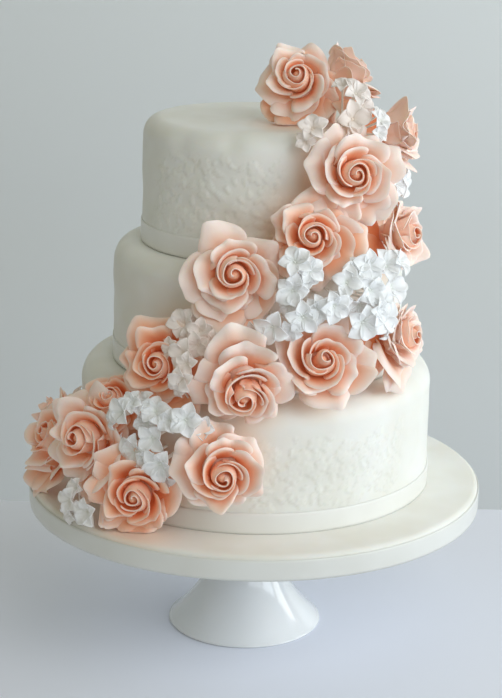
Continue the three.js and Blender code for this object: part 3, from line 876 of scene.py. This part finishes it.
# The heart: one long sheet wound clockwise. Its upper edge falls with the winding, its radius
# grows with the winding and, down from the edge, by the lean, swells at three corners, and the
# edge itself flares out. Its pit lies a little off its middle.
def budSheet(turn, pit, luck):
    wound = np.linspace(0, 1, roseShape["budColumns"])[None, :]
    along = np.sin(np.linspace(0, math.pi / 2, roseShape["budRows"]))[:, None]
    angle = turn - wound * luck.uniform(*roseShape["budTurns"]) * fullTurn
    corners = 1 + 0.07 * np.sin(3 * angle + luck.uniform(0, 6))
    rim = 0.02 + roseShape["budRadius"] * wound ** 0.95 * corners
    edge = past(along, 0.9)
    r = rim + roseShape["budLean"] * smooth((1 - along) / 0.45) + roseShape["budFlare"] * edge
    high = roseShape["budHeight"] - 0.1 * wound ** 1.3 + 0.02 * np.sin(9 * wound + luck.uniform(0, 6))
    sheet = aboutFlower(r, angle, roseShape["budFoot"] + (high - roseShape["budFoot"]) * along)
    sheet[..., :2] += np.asarray(pit) * (1 - wound[..., None]) ** 1.5
    # The bud is warmer low down in the heart: partly the paste's own colour, partly painted shade.
    warmth = 0.5 + 0.5 * (1 - along) ** 0.8 - 0.3 * edge
    marks = {"warmth": warmth, "across": 2 * wound[:, ::-1] - 1, "along": along}
    return sheet[:, ::-1], roseShape["budThick"], marks


# Points within the outline move by the lean's share 1 - r^2.
def leaned(sheet, lean):
    moved = sheet.copy()
    moved[..., :2] += np.clip(1 - (sheet[..., :2] ** 2).sum(-1, keepdims=True), 0, 1) * np.asarray(lean)
    return moved


# A rose: its heart, its layers from the heart outwards, its loose petals, the cone of paste
# that they are wound on, and its stem. Inside is 0 on a petal's back and 1 on its face.
def roseParts(number, row):
    luck = np.random.default_rng(roseShape["seed"] + number)
    spot = row[5] / 2 * mm * smallRoses.get(number, 1), *flowerPlace(row)
    spin = math.radians(row[6])
    lean = heartLeans.get(number, luck.uniform(-1, 1, 2) * roseShape["heartLean"])
    pit = heartPits.get(number, luck.uniform(-1, 1, 2) * roseShape["pit"])
    sheets = [budSheet(spin + luck.uniform(0, 6), pit, luck)]
    outer = dict(roseLayers[-1])
    if number in closedRoses:
        outer.update(zip(("start", "cup", "reflex"), closedRoses[number]))
        outer.update((key, outer[key] * 0.5) for key in ("ruffle", "roll", "tip"))
    for layer in [*roseLayers[:-1], outer]:
        layer = {**layer, "depth": layer["depth"] + paintedLightTints.get(number, 0)}
        for petal in range(layer["petals"]):
            turn = layer["turn"] + 360 * petal / layer["petals"]
            turn += roseShape["shuffle"] * layer["uneven"] * swing(luck, 1)
            sheets.append(petalSheet(layer, spin + math.radians(turn), luck))
    for turn, longer, steeper, warm in loosePetals.get(number, []):
        layer = {**roseLayers[-1], "depth": warm}
        layer["low"] -= roseShape["looseLower"]
        layer["length"] *= longer
        layer["cup"] *= steeper
        sheets.append(petalSheet(layer, math.radians(turn), luck))
    parts = []
    for sheet, thick, marks in sheets:
        made = shell(placedClear(leaned(sheet, lean), roseShape["gap"], *spot), thick, **marks)
        made["marks"]["inside"] = np.repeat([0.0, 1.0], len(made["points"]) // 2)
        parts.append(made)
    cone = np.array(roseShape["cone"])
    cone = leaned(aboutFlower(cone[:, :1], circle(roseShape["coneColumns"]), cone[:, 1:]), lean)
    parts.append(capped(placed(cone, *spot), warmth=0.5, across=0.0, along=0.3, inside=1.0))
    parts.append(stemFrom(roseShape, *spot, warmth=0.0, across=0.0, along=0.5, inside=0.0))
    return parts


# Main and side are a floret's half width as shares of the blossom's, and sink how far back a
# side floret lies. Widths, opens and curls are drawn shares of width, open and curl, and lengths
# are shares of the floret's half width.
blossomShape = {
    "half": 12.5 * mm, "rows": 12, "columns": 9, "thick": 0.4 * mm, "gap": 0.6 * mm, "width": 0.46,
    "open": 50, "curl": 38, "cup": 0.55, "fold": 0.03, "main": (0.84, 0.98), "side": (0.62, 0.8),
    "sideLean": (12, 34), "sink": (0.05, 0.3), "widths": (0.88, 1.1), "lengths": (1.02, 1.2),
    "openness": (0.55, 1.25), "opens": (0.8, 1.2), "curls": (0.2, 1.5), "bead": 0.08, "beadAt": 0.06,
    "beadTilt": 1.35, "beadRows": 6, "beadColumns": 10, "back": (-0.03, -0.24), "stemColumns": 8,
    "stem": (0.2, 0.12, 0.1, 0.1, 0.1), "seed": 300,
}
# How much painted warm shade the blossoms that lie in a rose's shade carry.
blushes = {1: 0.35, 2: 0.5, 3: 0.1, 4: 0.45, 18: 0.38, 19: 0.4, 20: 0.42, 21: 0.4, 22: 0.45, 29: 0.15,
           30: 0.1, 32: 0.4}
# Blossoms that are smaller than the others.
smallBlossoms = {1: 0.9, 3: 0.72, 4: 0.9, 18: 0.9, 19: 0.88, 20: 0.85, 21: 0.82, 22: 0.82, 29: 0.9,
                 30: 0.9}


# A blossom's petal: a pointed oval whose half width is sin(pi along^0.85)^0.8. Its slope falls
# from the open angle to a quarter of it and, near the tip, bends back; its sides are raised and
# a fold runs down its middle.
def blossomPetal(turn, openness, luck):
    across = np.linspace(-1, 1, blossomShape["columns"])[None, :]
    along = np.linspace(0, 1, blossomShape["rows"])[:, None]
    oval = np.sin(math.pi * np.clip(along, 0.03, 0.985) ** 0.85) ** 0.8
    width = blossomShape["width"] * luck.uniform(*blossomShape["widths"]) * oval
    opened = math.radians(blossomShape["open"] * openness * luck.uniform(*blossomShape["opens"]))
    curl = math.radians(blossomShape["curl"] * luck.uniform(*blossomShape["curls"]))
    slope = opened * (1 - 0.75 * smooth(along / 0.7)) - curl * past(along, 0.6)
    step = np.diff(along, axis=0, prepend=0) * luck.uniform(*blossomShape["lengths"])
    r = 0.05 + np.cumsum(np.cos(slope) * step, axis=0) + 0 * across
    z = np.cumsum(np.sin(slope) * step, axis=0) + blossomShape["cup"] * width * across ** 2
    fold = blossomShape["fold"] * bump(across, 0.3) * np.sin(math.pi * along)
    z = z + fold + swing(luck, 0.08) * across * along
    y = width * across
    x, y = r * math.cos(turn) - y * math.sin(turn), r * math.sin(turn) + y * math.cos(turn)
    return np.stack([x, y, z], -1), {"warmth": bump(along, 0.2) * 0.5, "across": across, "along": along}


# One floret: its petals, each second one a little higher, the bead in its middle and its stem.
def floretParts(half, centre, axes, petals, spin, luck):
    openness = luck.uniform(*blossomShape["openness"])
    spot = half, centre, axes
    parts = []
    for petal in range(petals):
        turn = spin + fullTurn * (petal + 0.45) / petals + swing(luck, 0.08)
        sheet, marks = blossomPetal(turn, openness, luck)
        sheet[..., 2] += 0.012 * (petal % 2)
        parts.append(shell(placedClear(sheet, blossomShape["gap"], *spot), blossomShape["thick"], **marks))
    tilt = np.linspace(-blossomShape["beadTilt"], blossomShape["beadTilt"], blossomShape["beadRows"])[:, None]
    height = blossomShape["beadAt"] * (1 + np.sin(tilt))
    bead = aboutFlower(blossomShape["bead"] * np.cos(tilt), circle(blossomShape["beadColumns"]), height)
    marks = {"warmth": 0.6, "across": 0.0, "along": 0.3}
    parts.append(capped(placed(bead, *spot), **marks))
    parts.append(stemFrom(blossomShape, *spot, **marks))
    return parts


# A blossom and one or two smaller florets beside it, sunk a little and turned away from it.
def blossomParts(number, row):
    luck = np.random.default_rng(blossomShape["seed"] + number)
    centre, axes = flowerPlace(row)
    whole = blossomShape["half"] * smallBlossoms.get(number, 1)
    petals = 4 if number % 3 == 2 else 5
    main = whole * luck.uniform(*blossomShape["main"])
    parts = floretParts(main, centre, axes, petals, math.radians(row[5]), luck)
    first = luck.uniform(0, fullTurn)
    for side in (0, math.pi + swing(luck, 0.7))[:1 + number % 2]:
        sideways = axes[0] * math.cos(first + side) + axes[1] * math.sin(first + side)
        lean = math.radians(luck.uniform(*blossomShape["sideLean"]))
        out = axes[2] * math.cos(lean) + sideways * math.sin(lean)
        right = unit(np.cross(axes[1], out))
        half = whole * luck.uniform(*blossomShape["side"])
        place = centre + sideways * (main * 0.55 + half * 0.5)
        place = place - axes[2] * luck.uniform(*blossomShape["sink"]) * blossomShape["half"]
        sideAxes = np.stack([right, np.cross(out, right), out])
        parts += floretParts(half, place, sideAxes, 5, luck.uniform(0, 6), luck)
    for made in parts:
        made["marks"]["blush"] = np.full(len(made["points"]), blushes.get(number, 0.0))
    return parts


for number, row in enumerate(roses, 1):
    made = roseParts(number, row)
    makePiece(f"peachRose_{number:02d}", made, rosePaste, f"rose_{number:02d}")
print("roses made")
for number, row in enumerate(blossoms, 1):
    made = blossomParts(number, row)
    makePiece(f"whiteBlossom_{number:02d}", made, blossomPaste, f"blossom_{number:02d}")
print("blossoms made")

# Table, wall and floor.
stageShape = {"tableBack": 0.234, "tableThick": 0.03, "wallAt": 1.3, "wallHalf": 4, "wallTop": 3,
              "floor": -0.74, "reach": 8.0}
tableLook = {"dull": (235, 238, 249), "bright": (241, 244, 255), "scale": 8.0,
             "fine": 0.2, "sockets": {"Roughness": 0.55, "Specular IOR Level": 0.3}}
wallLook = {"dull": (242, 246, 248), "bright": (247, 251, 253), "scale": 6.0,
            "fine": 0.2, "sockets": {"Roughness": 0.8, "Specular IOR Level": 0.2}}


# A rectangle from one corner and its two sides.
def makePlane(name, corner, *sides, material):
    a, b, c = (np.array(v, float) for v in (corner, *sides))
    mesh = bpy.data.meshes.new(name)
    mesh.from_pydata([a, a + b, a + b + c, a + c], [], [(0, 1, 2, 3)])
    mesh.materials.append(material)
    addObject(name, mesh)


def makeMatt(name, look):
    material, tree, shader, _, mottle = newPaste(name, look)
    feed(tree, shader, {"Base Color": whitesOf(tree, look, mottle), **look["sockets"]})
    return material, tree, shader


def makeTable(shape):
    material, _, _ = makeMatt("tableTop", tableLook)
    far, back, floor = shape["reach"], shape["tableBack"], shape["floor"]
    makePlane("tableTop", (-far, -far, 0), (2 * far, 0, 0), (0, far + back, 0), material=material)
    makePlane("tableEdge", (far, back, 0), (0, 0, -shape["tableThick"]), (-2 * far, 0, 0), material=material)
    makePlane("roomFloor", (-far, -far, floor), (2 * far, 0, 0), (0, 2 * far, 0), material=material)


# The wall shows only from its front, so that it never hides the cake from behind.
def makeWall(shape):
    material, tree, shader = makeMatt("plainWall", wallLook)
    behind = addNode(tree, "ShaderNodeNewGeometry").outputs["Backfacing"]
    clear = addNode(tree, "ShaderNodeBsdfTransparent").outputs[0]
    mixed = addNode(tree, "ShaderNodeMixShader", {0: behind, 1: shader.outputs[0], 2: clear}).outputs[0]
    output = next(node for node in tree.nodes if node.type == "OUTPUT_MATERIAL")
    feed(tree, output, {"Surface": mixed})
    half, low = shape["wallHalf"], shape["floor"]
    height = shape["wallTop"] - low
    makePlane("plainWall", (-half, shape["wallAt"], low), (2 * half, 0, 0), (0, 0, height), material=material)


# Each lamp is its place, the point that it faces, its side in metres, its power and its colour.
lamps = {
    "window": ((2.03, -0.82, 0.94), (0, 0, 0.25), 1.1, 16, (0.86, 0.94, 1.0)),
    "openRoom": ((1.1, -1.8, 1.5), (0, 0, 0.25), 1.6, 18.8, (0.88, 0.94, 1.0)),
    "ceiling": ((0.25, -0.15, 2.4), (0, 0, 0.25), 1.2, 2.2, (0.95, 0.97, 1.0)),
    "wallWash": ((2.0, 0.3, 0.8), (0.2, 1.3, 0.1), 0.9, 10, (0.96, 1.0, 1.0)),
}
skyLook = {"strength": 0.284, "colour": (1.0, 0.98, 0.755)}


def makeLamp(name, place, target, size, energy, colour):
    data = bpy.data.lights.new(name, "AREA")
    data.shape, data.size, data.energy, data.color = "SQUARE", size, energy, colour
    aim = (Vector(target) - Vector(place)).to_track_quat("-Z", "Y").to_matrix().to_4x4()
    addObject(name, data).matrix_world = Matrix.Translation(place) @ aim


def makeSky(look):
    world = bpy.data.worlds.new("roomLight")
    world.use_nodes = True
    background = world.node_tree.nodes["Background"]
    background.inputs["Color"].default_value = (*look["colour"], 1)
    background.inputs["Strength"].default_value = look["strength"]
    bpy.context.scene.world = world


makeTable(stageShape)
makeWall(stageShape)
makeSky(skyLook)
for name, settings in lamps.items():
    makeLamp(name, *settings)
bpy.context.scene.view_settings.view_transform = "Standard"
print("table, wall and light made")
